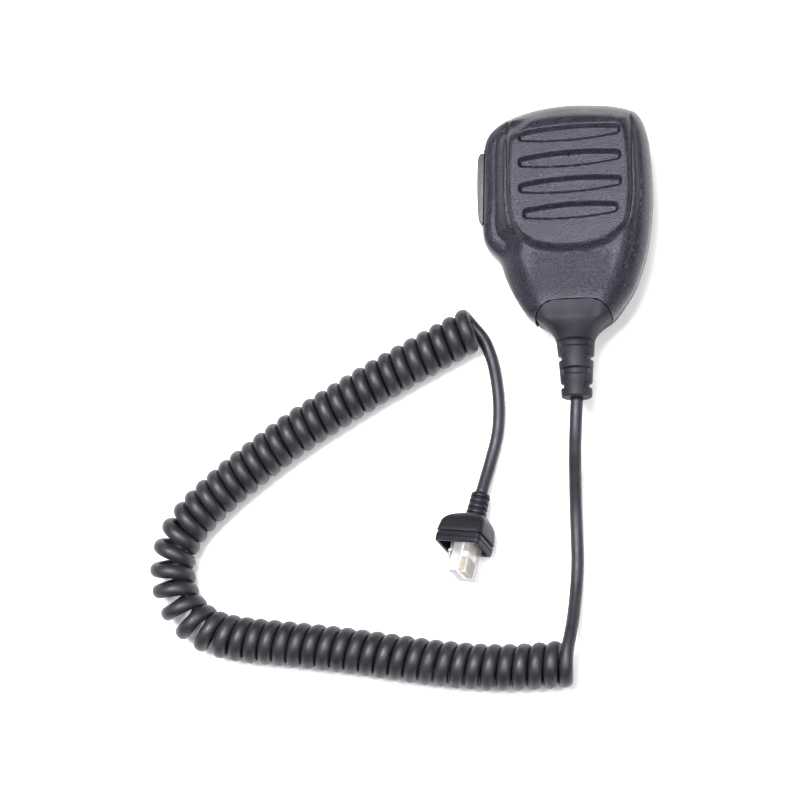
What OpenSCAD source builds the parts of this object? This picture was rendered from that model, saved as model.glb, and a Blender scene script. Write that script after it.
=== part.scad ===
// Hand microphone for a two-way radio, lying on its back with its curly cord and modular plug.
// Millimetres. +Z comes out of the grille, +Y points to the top of the case, +X to its right.
// The origin is the centre of the outer face of the hanger button, on the back of the case.

/* [Case] */
// Width of the case, without the bulge beside the talk key
case_w = 63; // [61:0.5:65]
// Height of the grille panel above the hanger face
panel_z = 33.4; // [33:0.1:34.5]
// How far the grille panel stands above the plain face below it
panel_step = 1.3; // [0.8:0.1:1.6]
// Height of the back of the case above the hanger face
back_z = 5.5; // [5:0.1:6]
// Thickness of the case walls
wall = 2; // [1.8:0.1:2.2]

/* [Grille] */
// Number of blind slots in the grille panel
slot_count = 4; // [2:1:4]
// Length of a grille slot
slot_l = 40; // [34:0.5:41]
// Height of a grille slot at its middle
slot_h = 6.8; // [5:0.1:7.4]
// Distance from one grille slot to the next
slot_pitch = 10.5; // [9.5:0.1:10.6]
// Depth of a grille slot
slot_depth = 1.2; // [0.8:0.1:1.4]

/* [Talk key] */
// Length of the talk key along the side of the case
key_l = 29.4; // [27:0.2:30]
// Width of the talk key, front to back
key_w = 11.8; // [10:0.2:12]
// How far the talk key stands out of the bulge
key_out = 2.5; // [2:0.1:2.8]

/* [Hanger] */
// Diameter of the hanger button's head
hanger_d = 13.5; // [12:0.5:15]
// Thickness of the hanger button's head
hanger_head_t = 2.3; // [2:0.1:2.8]
// Diameter of the hanger button's neck
hanger_neck_d = 7.5; // [6:0.5:8.5]

/* [Cord] */
// Diameter of the cord
cord_d = 4.9; // [4.7:0.05:4.9]
// Outer diameter of the cord's curly stretch
coil_d = 18; // [17:0.5:18]

/* [Plug] */
// Width of the modular plug
plug_w = 11.68; // [11.6:0.02:11.7]
// Thickness of the modular plug
plug_t = 6.6; // [6.4:0.1:6.7]
// Number of contacts in the plug
contact_count = 8; // [4:2:8]

/* [Hidden] */
$fn = 48;
eps = 0.01;

// ---- heights, measured from the hanger face ----
split_z = 16;                        // joint between the two case halves, and the cord's axis
face_z = panel_z - panel_step;
roof_z = panel_z - slot_depth - 1.8; // underside of the front wall
floor_z = back_z + wall;             // inside of the rear wall
board_z = 18;                        // underside of the circuit board
board_t = 1.6;

// ---- case outline: the right half from top to bottom, in a case 63 mm wide ----
half_right = [[0, 33.5], [9, 33], [18.5, 31.6], [26.3, 28.3], [29.9, 20], [31.2, 9], [31.5, -5],
              [30.5, -16], [29.3, -24], [28, -30], [25.7, -37], [23.2, -43], [17.9, -51],
              [15.4, -54], [10, -61], [0, -65.5]];
// the same points on the left, with the bulge that carries the talk key
half_left = [[0, 33.5], [-9, 33], [-18, 31.3], [-27, 27.7], [-33.3, 21], [-34.8, 11], [-34.8, -5],
             [-35.3, -16.5], [-33.8, -23], [-28.7, -29.4], [-26.3, -36.5], [-23.4, -43],
             [-18.6, -51], [-15.6, -54], [-10, -61], [0, -65.5]];
outline_w = 63;
outline_steps = 2;
case_end_y = -54;

// ---- places ----
capsule_xy = [0, 8.8];
case_screw_xy = [[19, 21.5], [-19, 21.5], [15, -37], [-15, -37]];
board_screw_xy = [[16, 12], [-16, -26], [16, -26]];
first_slot_y = 17.8;
slot_x = 0.4;
fourth_slot_cut = 2.8;               // the fourth slot is this much shorter
sound_hole_r = 0.7;
capsule_z = [23.2, 29.3];
holder_r = 6.4;
key_mid_y = 0.8;
pivot_xy = [-30.5, 14.5];
pivot_pin_r = 0.8;
bulge_x = -34.8;
switch_y = -6;
switch_z = 15;
clamp_y = -37;

// ---- cord: hand-chosen points of its route ----
lead_mic_pts = [[0, -84, 16], [-0.4, -90, 15.9], [-0.9, -97, 14.9], [-1.4, -104, 12.6],
                [-1.8, -111, 9.5], [-2.1, -118, 6.4], [-2.3, -125, 4], [-2.3, -132, 2.8],
                [-2.2, -139, 2.5], [-2.2, -146, 2.6], [-2.5, -152, 3.2], [-2.9, -158, 4.7],
                [-3.4, -164, 7.1], [-4, -170, 10], [-4.8, -175, 12.4], [-5.7, -180, 14.6],
                [-6.6, -185, 15.5]];
coil_pts = [[-6, -185, 9], [-21, -186, 9], [-34, -186.2, 9], [-47, -185.3, 9], [-60, -183.8, 9],
            [-73, -181.9, 9], [-87, -179.8, 9], [-101, -178, 9], [-117, -176.2, 9],
            [-132, -174.6, 9], [-145, -171.8, 9], [-154.5, -166.2, 9], [-160.6, -158, 9],
            [-163, -149, 9], [-162.8, -141, 9], [-159.5, -132, 9], [-153, -123.8, 9],
            [-142, -113.8, 9], [-128, -103, 9], [-113, -92.4, 9], [-97.5, -83, 9],
            [-83, -74.6, 9], [-68, -66.5, 9], [-54, -59.3, 9], [-41, -52.6, 9]];
lead_plug_pts = [[-39.8, -52, 2.5], [-37.5, -56.4, 2.5], [-35.7, -61, 2.5], [-34.2, -66, 2.5],
                 [-33.1, -72, 2.5], [-32.3, -79, 2.5], [-32.1, -86, 2.5], [-32.6, -93, 2.5],
                 [-33.8, -99, 2.5], [-35.2, -104, 2.7], [-36.3, -108.3, 3.3],
                 [-37.3, -112, 4.1], [-38.2, -115.5, 5], [-39.1, -119.1, 6]];
plug_at = [-39.1, -119.1, 6];        // where the cord enters the plug's boot
plug_turn = [164, -16, -7];
neck_l = 9.6;
boot_l = 13.5;
boot_end = neck_l + boot_l;
boot_mid = -2.1;                     // the boot is wider on the side of the plug's latch
boot_x = 9.6;                        // half of the boot, across the plug's thin side
boot_z = 7.8;                        // half of the boot, across the plug's wide side
plug_l = 21.5;
plug_out = 11.3;                     // how far the plug stands out of its boot
tip_y = boot_end + plug_out;
jacket_end_y = 21;                   // how far the cord's jacket reaches into the plug
wire_count = 8;

// ================= helpers =================
function lerp(a, b, t) = a + (b - a) * t;
function step01(t) = let (u = min(1, max(0, t))) u * u * (3 - 2 * u);
function unit(v) = v / norm(v);

// a point on a smooth curve between points b and c, with a and d beside them
function between(a, b, c, d, t) =
    0.5 * (2 * b + (c - a) * t + (2 * a - 5 * b + 4 * c - d) * t * t
           + (3 * b - a - 3 * c + d) * t * t * t);
function flip(p) = [-p.x, p.y];
function curve(pts, steps) =
    let (n = len(pts))
    [for (i = [0:n - 2], k = [0:steps - 1])
        between(i == 0 ? flip(pts[1]) : pts[i - 1], pts[i], pts[i + 1],
                i == n - 2 ? flip(pts[n - 2]) : pts[i + 2], k / steps)];

// the case outline as a closed loop; bulge is 1 for the full talk-key bulge and 0 for none
function side(pts) = curve([for (p = pts) [p.x * case_w / outline_w, p.y]], outline_steps);
right_side = side(half_right);
left_side = side(half_left);
function case_loop(bulge) =
    let (r = right_side, n = len(r), l = [for (i = [0:n - 1]) lerp(flip(r[i]), left_side[i], bulge)])
    concat(r, [[0, half_right[len(half_right) - 1].y]], [for (i = [n - 1:-1:1]) l[i]]);
function inset(loop, d) =
    let (n = len(loop))
    [for (i = [0:n - 1])
        let (t = unit(loop[(i + 1) % n] - loop[(i + n - 1) % n])) loop[i] + d * [t.y, -t.x]];
// the case's edges lean in less and less towards the cord's end
function lean(y) = 1 - 0.8 * step01((-40 - y) / 22);
function case_inset(loop, d) =
    let (n = len(loop))
    [for (i = [0:n - 1])
        let (t = unit(loop[(i + 1) % n] - loop[(i + n - 1) % n]))
        loop[i] + d * lean(loop[i].y) * [t.y, -t.x]];

// the case gets thinner towards the cord and rounds off at the top
function taper(y) = 1 - 0.24 * step01((-20 - y) / 36) - 0.2 * step01((y - 18) / 16);
function lift(p, z) = [p.x, p.y, split_z + (z - split_z) * taper(p.y)];
// one ring of the case: level is [z, inset, bulge, shrink towards the middle]
case_middle = [0, -8];
function case_ring(level) =
    [for (p = case_inset(case_loop(level[2]), level[1])) lift(lerp(p, case_middle, level[3]), level[0])];

// a closed solid through rings with the same number of points, from the lowest ring to the highest;
// ends are the middles of its two end faces, if these aren't the mean of their points
module loft(rings, ends = []) {
    n = len(rings[0]);
    m = len(rings);
    mid = function(r) [for (k = [0:2]) [for (p = r) p[k]] * [for (p = r) 1 / n]];
    points = concat([for (r = rings) each r],
                    len(ends) == 2 ? ends : [mid(rings[0]), mid(rings[m - 1])]);
    sides = [for (i = [0:m - 2], j = [0:n - 1], half = [0:1])
        let (a = i * n + j, b = i * n + (j + 1) % n, c = a + n, d = b + n)
        half == 0 ? [a, b, d] : [a, d, c]];
    bottom = [for (j = [0:n - 1]) [n * m, (j + 1) % n, j]];
    top = [for (j = [0:n - 1]) [n * m + 1, n * (m - 1) + j, n * (m - 1) + (j + 1) % n]];
    polyhedron(points, concat(sides, bottom, top), convexity = 10);
}

// a tube along points, with a flat end across each end of the route
function along(pts, i) = unit(pts[min(i + 1, len(pts) - 1)] - pts[max(i - 1, 0)]);
module tube(pts, d, sides) {
    loft([for (i = [0:len(pts) - 1])
        let (t = along(pts, i), s = unit(cross(t, [0, 0, 1])), u = cross(s, t))
        [for (k = [0:sides - 1])
            pts[i] + d / 2 * (cos(-360 * k / sides) * s + sin(-360 * k / sides) * u)]]);
}

module at(xy, z) {
    translate([xy.x, xy.y, z]) children();
}
module post(xy, z0, z1, r) {
    at(xy, z0) cylinder(h = z1 - z0, r = r);
}
// a cylinder along +Y from y0 to y1
module rod_y(y0, y1, r, x = 0, z = split_z) {
    translate([x, y0, z]) rotate([-90, 0, 0]) cylinder(h = y1 - y0, r = r);
}
module box(low, high) {
    translate(low) cube(high - low);
}
// everything on the plug is drawn along +Y from the cord's entry, then turned into place
module on_plug() {
    translate(plug_at) rotate(plug_turn) children();
}

// ================= case =================
front_levels = [[split_z + 0.1, 0.35, 1, 0], [split_z + 0.7, 0, 1, 0], [21, 0, 1, 0],
                [24.5, 0.7, 0.9, 0], [27.5, 2.2, 0.6, 0], [29.8, 4.3, 0.3, 0],
                [face_z - 0.8, 6.6, 0.1, 0], [face_z - 0.1, 8.6, 0, 0.03], [face_z, 8.6, 0, 0.2]];
rear_levels = [[back_z, 8.2, 0, 0.15], [back_z + 0.5, 8, 0.1, 0], [back_z + 1.9, 4.8, 0.4, 0],
               [back_z + 4.2, 1.9, 0.8, 0], [back_z + 7, 0.4, 1, 0], [split_z - 1, 0, 1, 0],
               [split_z - 0.1, 0.25, 1, 0]];
front_room = [[split_z - 1, wall + 0.3, 1, 0], [23, wall + 0.4, 0.95, 0], [26.5, wall + 1.9, 0.65, 0],
              [28.6, wall + 4, 0.3, 0], [roof_z - 0.3, wall + 6.6, 0, 0.03],
              [roof_z, wall + 6.6, 0, 0.15]];
rear_room = [[floor_z, wall + 6.6, 0, 0.15], [floor_z + 0.4, wall + 6.6, 0.1, 0],
             [floor_z + 2, wall + 3.4, 0.45, 0], [floor_z + 4.4, wall + 1.2, 0.85, 0],
             [split_z + 1, wall + 0.3, 1, 0]];
room_end_y = -45.4;

module case_loft(levels) {
    loft([for (l = levels) case_ring(l)],
         [for (l = [levels[0], levels[len(levels) - 1]]) lift(case_middle, l[0])]);
}
// keeps what lies above the case's lower end
module above(y) {
    intersection() {
        children();
        box([-60, y, -1], [60, 60, 50]);
    }
}

// the raised grille panel, a shield with a rounded lower edge
panel_half = [[0, 31], [9, 30.6], [17.5, 28.8], [22.4, 24], [23.8, 14], [23.8, 2], [23.6, -10],
              [21.4, -19], [14.5, -25.6], [0, -28.2]];
function panel_loop() =
    let (r = curve(panel_half, 2), n = len(r))
    concat(r, [[0, panel_half[len(panel_half) - 1].y]], [for (i = [n - 1:-1:1]) flip(r[i])]);
module grille_panel() {
    // from inside the front wall up to the panel's top
    levels = [[face_z - 2, -0.6], [face_z + 0.1, 0.3], [panel_z - 0.25, 1.9], [panel_z, 3.6]];
    loft([for (l = levels) [for (p = inset(panel_loop(), l[1])) lift(p, l[0])]],
         [[0, 0, levels[0][0]], [0, 0, panel_z]]);
}

// one slot: a lens with blunt ends
module slot_shape(l, h) {
    end_h = 0.62 * h;
    bow = (h - end_h) / 2;
    n = 12;
    upper = [for (i = [0:n]) let (t = i / n * 2 - 1) [t * l / 2, end_h / 2 + bow * (1 - t * t)]];
    lower = [for (i = [n:-1:0]) let (t = i / n * 2 - 1) [t * l / 2, -end_h / 2 - bow * (1 - t * t)]];
    polygon(concat(upper, lower));
}
module grille_slots() {
    for (i = [0:slot_count - 1]) {
        y = first_slot_y - i * slot_pitch;
        l = i == 3 ? slot_l - fourth_slot_cut : slot_l;
        top = lift([0, y], panel_z).z;
        translate([slot_x, y, top - slot_depth]) linear_extrude(5) slot_shape(l, slot_h);
    }
}

// window for the talk key, half in each case shell
window_gap = 0.4;
ear_r = 1.7;
ear_z = 5;                           // the key's ears reach this far from the joint
module key_window() {
    box([bulge_x - 3, key_mid_y - key_l / 2 - 0.9, split_z - key_w / 2 - window_gap],
        [bulge_x + wall + 3.3, key_mid_y + key_l / 2 + window_gap, split_z + key_w / 2 + window_gap]);
    // room for the key's ears
    post(pivot_xy, split_z - ear_z - 0.4, split_z + ear_z + 0.4, ear_r + window_gap);
}

// seam between the case and the rubber collar, seen from the front
seam = [[-18, -66], [-15.6, -58], [-14.9, -54.5], [-13.6, -51.5], [-11, -48.9], [-7.8, -47.7],
        [0, -47.4], [7.8, -47.7], [11, -48.9], [13.6, -51.5], [14.9, -54.5], [15.6, -58], [18, -66]];
module collar_column(grow) {
    translate([0, 0, -1]) linear_extrude(50) offset(delta = grow) polygon(seam);
}

// radii of the bosses inside the case and of the screws in them
boss_r = 3.3;
board_boss_r = 2.6;
screw_r = 1.2;

module front_case() {
    color([0.14, 0.135, 0.15]) difference() {
        union() {
            difference() {
                above(case_end_y) case_loft(front_levels);
                above(room_end_y) case_loft(front_room);
            }
            grille_panel();
            intersection() {
                union() {
                    for (p = case_screw_xy) post(p, split_z + 0.1, 29, boss_r);
                    for (p = board_screw_xy) post(p, board_z + board_t, 30.5, board_boss_r);
                    post(pivot_xy, split_z + key_w / 2 + 0.3, 28, 2);
                    post([0, clamp_y - 5.2], split_z + 3.2, 29, 2.5);
                }
                case_loft(front_levels);
            }
        }
        grille_slots();
        post(capsule_xy, roof_z - 1, panel_z + 1, sound_hole_r);
        post(capsule_xy, capsule_z[0] - 1, roof_z, holder_r + 0.05);
        for (p = case_screw_xy) post(p, split_z - 1, 25, screw_r);
        for (p = board_screw_xy) post(p, board_z, 25, 0.9);
        post(pivot_xy, split_z, 24.2, pivot_pin_r);
        key_window();
        collar_column(0.15);
        rod_y(-50, room_end_y + 1, 4.85);
    }
}

module rear_case() {
    color([0.13, 0.125, 0.14]) difference() {
        union() {
            difference() {
                above(case_end_y) case_loft(rear_levels);
                above(room_end_y) case_loft(rear_room);
            }
            intersection() {
                union() {
                    for (p = case_screw_xy) post(p, back_z + 0.5, split_z - 0.1, boss_r + 0.4);
                    post(pivot_xy, back_z + 1, split_z - key_w / 2 - 0.3, 2);
                    for (x = [-7, 7]) post([x, clamp_y], back_z + 1, split_z - 2.6, 2.6);
                    post([0, 0], back_z, floor_z + 2.5, 5);
                }
                case_loft(rear_levels);
            }
        }
        for (p = case_screw_xy) {
            post(p, back_z - 2, split_z + 1, 1.5);
            post(p, back_z - 2, 9, 2.7);
        }
        post(pivot_xy, 8.6, split_z, pivot_pin_r);
        for (x = [-7, 7]) post([x, clamp_y], 8, split_z, 1);
        post([0, 0], back_z - 1, floor_z + 4, 2.1);
        key_window();
        collar_column(0.15);
        rod_y(-50, room_end_y + 1, 4.85);
    }
}

// pan-head screw with its tip up; z is the underside of the head
module screw(xy, z, l, r, head_r, head_h) {
    difference() {
        union() {
            post(xy, z, z + l, r);
            post(xy, z - head_h, z, head_r);
        }
        at(xy, z - head_h - eps) for (a = [0, 90]) rotate(a)
            translate([-head_r * 0.6, -0.3, 0]) cube([head_r * 1.2, 0.6, head_h * 0.55]);
    }
}
module case_screws() {
    color("silver") for (p = case_screw_xy) screw(p, 9, 14, screw_r, 2.3, 1.6);
}

// ================= talk key =================
module ptt_button() {
    color([0.24, 0.22, 0.22]) difference() {
        union() {
            key_stem();
            key_tab();
            key_ears();
            // nub that pushes the switch
            box([bulge_x + 2.3, switch_y - 1.5, switch_z - 2], [-29.7, switch_y + 1.5, switch_z + 2]);
        }
        post(pivot_xy, 5, 27, pivot_pin_r + 0.05);
    }
}
// the visible bar, bowed along its length
module key_stem() {
    n = 24;
    bow = 0.5;
    corner = 1.2;
    face = [for (i = [0:n])
        let (t = sin(90 * (i / n * 2 - 1)))
        [bulge_x - key_out + bow * t * t + corner * pow(abs(t), 16),
         key_mid_y + t * key_l / 2]];
    back_x = bulge_x + 2.5;
    translate([0, 0, split_z - key_w / 2]) linear_extrude(key_w)
        polygon(concat(face, [[back_x, key_mid_y + key_l / 2], [back_x, key_mid_y - key_l / 2]]));
}
// the tab behind the case wall that keeps the key's free end in its window
module key_tab() {
    box([bulge_x + 2.3, key_mid_y - key_l / 2 - 2.2, split_z],
        [bulge_x + 3.5, key_mid_y - key_l / 2 + 2, split_z + 4]);
}
// two ears round the pivot pin
module key_ears() {
    for (z = [split_z - ear_z, split_z + ear_z - 2]) {
        post(pivot_xy, z, z + 2, ear_r);
        box([bulge_x + 2.4, pivot_xy.y - 1.2, z], [pivot_xy.x, pivot_xy.y + 1, z + 2]);
    }
}
module ptt_pivot_pin() {
    color("silver") post(pivot_xy, 8.8, 24, pivot_pin_r);
}
module ptt_switch_body() {
    color([0.08, 0.08, 0.08]) difference() {
        box([-27, switch_y - 3.5, 12.2], [-20.2, switch_y + 3.5, board_z]);
        translate([-27.5, switch_y, switch_z]) rotate([0, 90, 0]) cylinder(h = 4.5, r = 1.55);
    }
}
module ptt_switch_plunger() {
    color([0.75, 0.72, 0.65]) translate([-29.5, switch_y, switch_z]) rotate([0, 90, 0])
        cylinder(h = 5, r = 1.5);
}
module ptt_switch_pins() {
    color("silver") for (y = [-2.5, 0, 2.5])
        translate([-20.2, switch_y + y, 15]) {
            cube([1.4, 0.6, 0.5]);
            translate([0.9, 0, 0]) cube([0.5, 0.6, board_z - 15]);
        }
}

// ================= electronics =================
module circuit_board() {
    color([0.05, 0.32, 0.16]) difference() {
        box([-20.5, -31, board_z], [20.5, 17, board_z + board_t]);
        for (p = board_screw_xy) post(p, board_z - 1, board_z + 3, 1.1);
    }
}
module board_screws() {
    color("silver") for (p = board_screw_xy) screw(p, board_z, 6.5, 0.9, 1.8, 1.3);
}
module amplifier_chip() {
    color([0.07, 0.07, 0.08]) {
        box([-4, -12, board_z + board_t], [4, -6, board_z + board_t + 1.5]);
        for (i = [0:3], s = [-1, 1])
            box([-3.4 + 1.9 * i, -9 + s * 3 + min(0, s) * 1.2, board_z + board_t],
                [-2.9 + 1.9 * i, -9 + s * 3 + max(0, s) * 1.2, board_z + board_t + 0.4]);
    }
}
module board_capacitors() {
    color([0.55, 0.42, 0.28]) {
        for (x = [-12, -8, 8, 12], y = [-16, -2])
            box([x - 1, y - 0.6, board_z + board_t], [x + 1, y + 0.6, board_z + board_t + 1]);
        for (x = [-11, 11]) post([x, -8.5], board_z + board_t, board_z + board_t + 5.4, 2);
    }
}
module mic_capsule() {
    color("silver") difference() {
        post(capsule_xy, capsule_z[0], capsule_z[1], 4.85);
        post(capsule_xy, capsule_z[1] - 0.6, capsule_z[1] + 1, 3.9);
    }
}
module capsule_holder() {
    color([0.1, 0.1, 0.1]) difference() {
        post(capsule_xy, capsule_z[0] - 0.8, roof_z - 0.05, holder_r);
        post(capsule_xy, capsule_z[0], roof_z + 1, 4.9);
        post(capsule_xy, capsule_z[0] - 2, roof_z + 1, 3.4);
    }
}
module dust_screen() {
    color([0.2, 0.2, 0.2]) post(capsule_xy, capsule_z[1] + 0.02, roof_z - 0.1, 4.8);
}
module capsule_wires() {
    color("firebrick") for (x = [-1.27, 1.27])
        post(capsule_xy + [x, 0], board_z + board_t, capsule_z[0], 0.35);
}

// ================= cord entry =================
header_x = 9.4;
wire_z = board_z - 2.5;
function wire_x(i) = 2 * (i - (wire_count - 1) / 2);
module wire_header() {
    color([0.85, 0.82, 0.72]) difference() {
        box([-header_x, -29.5, board_z - 5], [header_x, -25, board_z]);
        box([-header_x + 0.8, -30, board_z - 4.2], [header_x - 0.8, -25.8, board_z - 0.8]);
    }
}
module wire_plug() {
    color([0.9, 0.88, 0.8]) difference() {
        box([-header_x + 1, -31.5, board_z - 4], [header_x - 1, -26, board_z - 1]);
        for (i = [0:wire_count - 1])
            rod_y(-32, -27.5, 0.55, x = wire_x(i), z = wire_z);
    }
}
// eight insulated wires that fan out from the cord's jacket to the header
module cord_conductors() {
    for (i = [0:wire_count - 1]) {
        column = floor(i / 2);
        a = 22.5 + 45 * column;
        start = [-1.5 * cos(a), -35, split_z + (i % 2 == 0 ? 1.5 : -1.5) * sin(a)];
        finish = [wire_x(i), -31.9, wire_z];
        color(i % 2 == 0 ? "firebrick" : "ivory")
            tube([start, lerp(start, finish, 0.3) + [0, -0.4, 0], lerp(start, finish, 0.7) + [0, 0.4, 0],
                  finish, finish + [0, 4, 0]], 1, 8);
    }
}
module cord_inner_end() {
    color([0.12, 0.12, 0.13]) rod_y(-84, -35, cord_d / 2);
}
module cord_clamp() {
    color("silver") difference() {
        union() {
            rod_y(clamp_y - 2.5, clamp_y + 1.7, cord_d / 2 + 1.2);
            box([-10, clamp_y - 2.5, split_z - 2.6], [10, clamp_y + 1.7, split_z - 1.4]);
        }
        rod_y(clamp_y - 4, clamp_y + 4, cord_d / 2);
        box([-3, clamp_y - 4, 8], [3, clamp_y + 4, split_z - 1.8]);
        for (x = [-7, 7]) post([x, clamp_y], 8, split_z, 1.2);
    }
}
// clamp screws go down into the rear case, so their heads are up
module clamp_screws() {
    color("silver") for (x = [-7, 7])
        translate([x, clamp_y, split_z - 1.4]) rotate([180, 0, 0]) screw([0, 0], 0, 5.5, 1, 1.9, 1.3);
}

// ================= hanger =================
module hanger_button() {
    edge = 0.6;
    color("silver") difference() {
        rotate_extrude() polygon(concat(
            [[0, 0]],
            [for (a = [0:15:90]) [hanger_d / 2 - edge + edge * sin(a), edge - edge * cos(a)]],
            [for (a = [0:15:90])
                [hanger_d / 2 - edge + edge * cos(a), hanger_head_t - edge + edge * sin(a)]],
            [[hanger_neck_d / 2, hanger_head_t], [hanger_neck_d / 2, back_z], [0, back_z]]));
        post([0, 0], 1.6, back_z + 1, 2);
    }
}
module hanger_screw() {
    color("silver") translate([0, 0, floor_z + 3.5]) rotate([180, 0, 0])
        screw([0, 0], 0, floor_z + 1.6, 2, 3.6, 2.2);
}
module hanger_washer() {
    color("silver") difference() {
        post([0, 0], floor_z + 2.5, floor_z + 3.5, 4.8);
        post([0, 0], floor_z, floor_z + 5, 2.1);
    }
}

// ================= strain relief =================
// one ring round the cord's axis: [y, half width, half height, middle height]
function round_ring(r) = [for (a = [0:9:351])
    let (c = cos(a), s = sin(a), k = pow(pow(abs(c), 2.4) + pow(abs(s), 2.4), -1 / 2.4))
    [r[1] * k * c, r[0], r[3] + r[2] * k * s]];
flare = [[-52.5, 14.4, 10.4, split_z + 2.2], [-54.5, 14, 10, split_z + 2], [-56.5, 12, 9, split_z + 1.4],
         [-58.5, 9.9, 8.2, split_z + 0.7], [-60.5, 8.4, 7.8, split_z + 0.3], [-62.5, 7.7, 7.6, split_z],
         [-64.5, 7.3, 7.3, split_z]];
relief_end_y = -84;
groove_w = 2.8;
front_groove_y = [-63.2, -74];       // grooves across the front and back of the sleeve
front_groove_z = 5.5;                // and what is left between them and the cord's axis
side_groove_y = [-68.6, -79.4];      // grooves across its two sides
side_groove_x = 4.2;
groove_room = 4;
module strain_relief() {
    color([0.12, 0.115, 0.13]) difference() {
        union() {
            intersection() {
                union() {
                    case_loft(front_levels);
                    case_loft(rear_levels);
                    box([-20, -60, split_z - 1], [20, -40, split_z + 1]);
                }
                collar_column(0);
                box([-20, case_end_y, 0], [20, -46, 40]);
            }
            loft([for (i = [len(flare) - 1:-1:0]) round_ring(flare[i])]);
            translate([0, -64.4, split_z]) rotate([90, 0, 0]) rotate_extrude() polygon([
                [0, 0], [7.3, 0], [6.9, 4.6], [6.3, 11.6], [6, 18.4], [5.4, 19.6], [0, 19.6]]);
            // neck through the case wall, and the flange inside it
            rod_y(-49, room_end_y + 0.2, 4.6);
            rod_y(room_end_y + 0.15, room_end_y + 2.4, 6.5);
        }
        rod_y(relief_end_y - 1, -40, cord_d / 2);
        translate([0, 0, split_z]) {
            for (y = front_groove_y, turn = [0, 180]) rotate([0, turn, 0])
                box([-12, y - groove_w / 2, front_groove_z],
                    [12, y + groove_w / 2, front_groove_z + groove_room]);
            for (y = side_groove_y, turn = [0, 180]) rotate([0, turn, 0])
                box([side_groove_x, y - groove_w / 2, -groove_room],
                    [side_groove_x + groove_room, y + groove_w / 2, groove_room]);
        }
    }
}

// ================= cord =================
module cord_lead_mic() {
    color([0.12, 0.12, 0.13]) tube(lead_mic_pts, cord_d, 10);
}
module cord_coil() {
    color([0.12, 0.12, 0.13]) tube(coil_pts, coil_d, 16);
}
module cord_lead_plug() {
    color([0.12, 0.12, 0.13]) tube(lead_plug_pts, cord_d, 10);
}
module cord_plug_end() {
    color([0.12, 0.12, 0.13]) on_plug() rod_y(0, jacket_end_y, cord_d / 2, z = 0);
}

// ================= plug =================
module rounded_block(x, z, y0, y1, r) {
    translate([boot_mid, y0, 0]) rotate([-90, 0, 0]) linear_extrude(y1 - y0)
        offset(r = r) square([2 * (x - r), 2 * (z - r)], center = true);
}
boot_wall = 1.6;
module plug_boot() {
    color([0.1, 0.1, 0.11]) on_plug() difference() {
        union() {
            rod_y(0, neck_l + 1, 3.3, z = 0);
            for (i = [0:3]) rod_y(0.3 + i * 2.4, 2.1 + i * 2.4, 3.95, z = 0);
            hull() {
                rod_y(neck_l - 0.2, neck_l, 4.6, z = 0);
                rounded_block(boot_x - 1.6, boot_z - 1.6, neck_l + 2.4, neck_l + 2.6, 2.5);
                rounded_block(boot_x, boot_z, neck_l + 6, boot_end - 2.4, 1.8);
            }
            rounded_block(boot_x - 0.7, boot_z - 0.7, boot_end - 3, boot_end - 1, 1.4);
            rounded_block(boot_x - 0.2, boot_z - 0.2, boot_end - 1.8, boot_end, 1.5);
        }
        rod_y(-1, boot_end, cord_d / 2, z = 0);
        // the room round the plug and its latch
        box([boot_mid - boot_x + boot_wall, tip_y - plug_l - 0.1, -plug_w / 2 - 0.05],
            [plug_t / 2 + 0.05, boot_end + 1, plug_w / 2 + 0.05]);
        box([boot_mid - boot_x + boot_wall, boot_end - 5, -boot_z + boot_wall],
            [boot_mid + boot_x - boot_wall, boot_end + 1, boot_z - boot_wall]);
    }
}
contact_pitch = 1.02;
module plug_body() {
    color([0.85, 0.87, 0.9, 0.5]) on_plug() difference() {
        union() {
            box([-plug_t / 2, tip_y - plug_l, -plug_w / 2], [plug_t / 2, tip_y, plug_w / 2]);
            box([-plug_t / 2 - 1.1, tip_y - 1.5, -1.6], [-plug_t / 2 + 1, tip_y - 0.9, 1.6]);
        }
        // cord entry, wire room and contact slots
        rod_y(tip_y - plug_l - 1, jacket_end_y + 0.05, cord_d / 2 + 0.05, z = 0);
        box([-0.6, jacket_end_y, -4.3], [0.6, tip_y - 1.6, 4.3]);
        for (i = [0:contact_count - 1]) {
            z = (i - (contact_count - 1) / 2) * contact_pitch;
            box([0.5, tip_y - 6.4, z - 0.28], [plug_t / 2 + 1, tip_y + 1, z + 0.28]);
        }
        // step down towards the cord on the latch side
        box([-plug_t / 2 - 1, tip_y - 23, -plug_w], [-plug_t / 2 + 0.5, tip_y - 14.5, plug_w]);
    }
}
module plug_latch() {
    color([0.85, 0.87, 0.9, 0.5]) on_plug() {
        translate([0, 0, -1.6]) linear_extrude(3.2) polygon([
            [-plug_t / 2 - 1.15, tip_y - 0.95], [-plug_t / 2 - 1.9, tip_y - 1.2],
            [-plug_t / 2 - 3, tip_y - 7.5], [-plug_t / 2 - 4.1, tip_y - 16.5],
            [-plug_t / 2 - 3.1, tip_y - 16.6], [-plug_t / 2 - 2, tip_y - 7.6],
            [-plug_t / 2 - 1.15, tip_y - 2.1]]);
        // wide shoulders that catch in the socket
        translate([0, 0, -3]) linear_extrude(6) polygon([
            [-plug_t / 2 - 2.6, tip_y - 6], [-plug_t / 2 - 3.3, tip_y - 9.4],
            [-plug_t / 2 - 2.3, tip_y - 9.5], [-plug_t / 2 - 1.8, tip_y - 6]]);
    }
}
module plug_contacts() {
    color("gold") on_plug() for (i = [0:contact_count - 1]) {
        z = (i - (contact_count - 1) / 2) * contact_pitch;
        box([0.62, tip_y - 6.2, z - 0.2], [plug_t / 2 - 0.25, tip_y - 0.5, z + 0.2]);
    }
}
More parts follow.
